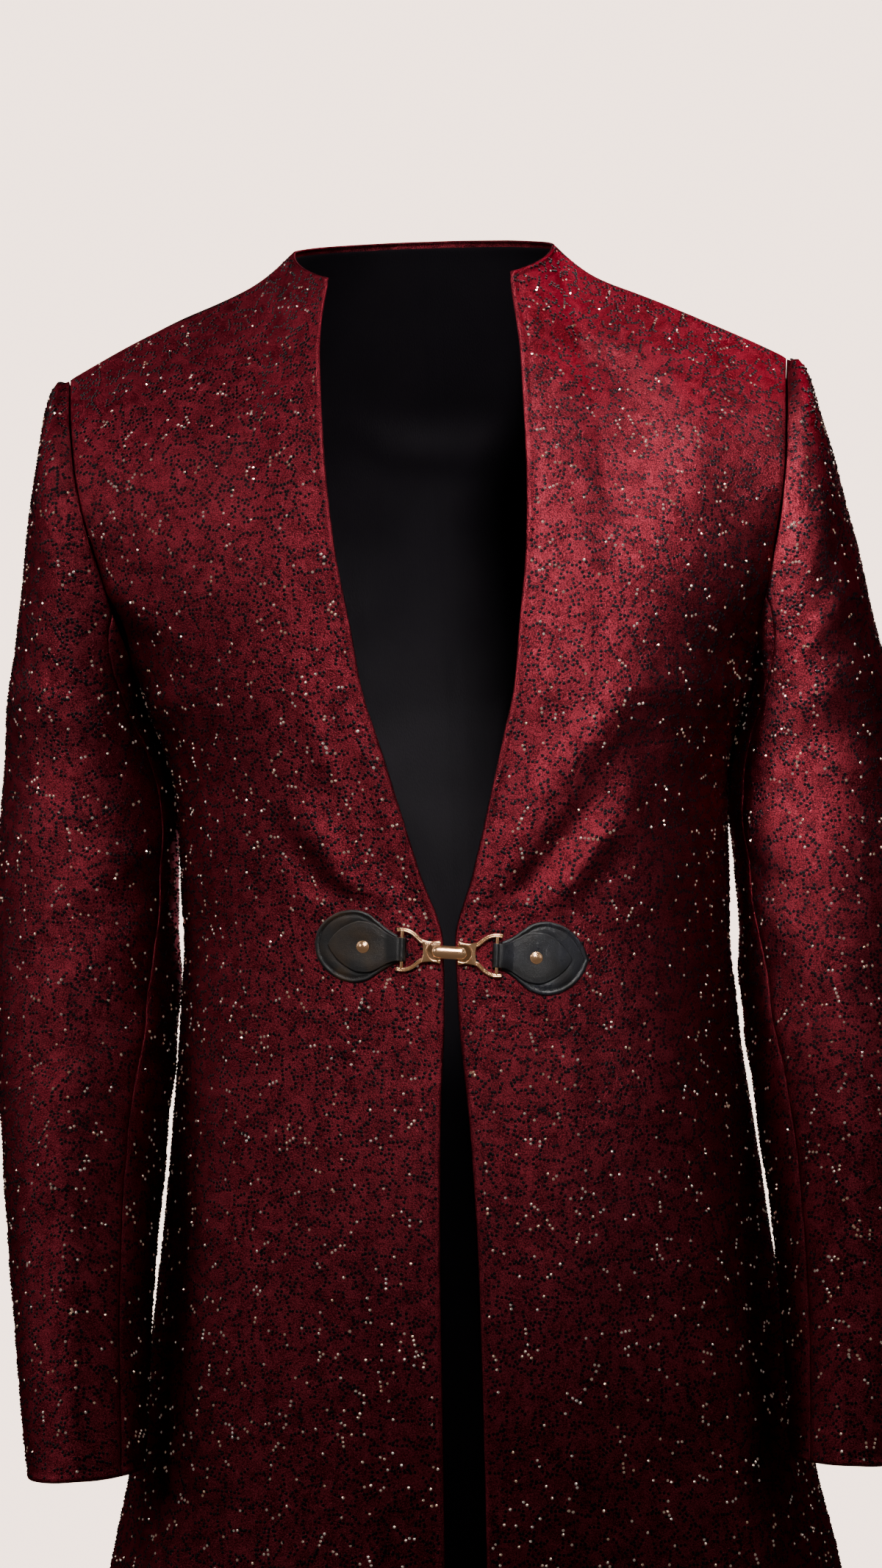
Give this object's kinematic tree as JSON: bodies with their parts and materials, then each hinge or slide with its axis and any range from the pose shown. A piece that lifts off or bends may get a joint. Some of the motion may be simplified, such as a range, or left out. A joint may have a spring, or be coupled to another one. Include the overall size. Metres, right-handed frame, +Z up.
{
  "type": "sherwani coat",
  "caption": "Long open-front sherwani coat in its worn, hollow form: fitted body, flared skirt, two-piece set-in sleeves, and a leather and gilt clasp that joins the fronts at the waist.",
  "frame": {"origin": "middle of the neck at the height of the shoulders, where the wearer's shoulders hold the coat", "axes": "+Z up, +X towards the wearer's left, and the fronts face -Y"},
  "size_m": [0.5707, 0.3649, 1.0212],
  "materials": {
    "velvet": "burgundy velvet with a soft pink sheen, set with small black beads and clear stones",
    "black_leather": "smooth black leather with stitched edges",
    "gilt": "polished rose-gold plated metal"
  },
  "bodies": {
    "root": {"front_left": "velvet", "front_right": "velvet", "back": "velvet", "sleeve_left_top": "velvet", "sleeve_left_under": "velvet", "sleeve_right_top": "velvet", "sleeve_right_under": "velvet", "tab_base_left": "black_leather", "tab_base_right": "black_leather", "tab_flap_left": "black_leather", "tab_flap_right": "black_leather", "rivet_left": "gilt", "rivet_right": "gilt", "ring_left": "gilt", "ring_right": "gilt", "clasp_link": "gilt"}
  },
  "joints": []
}
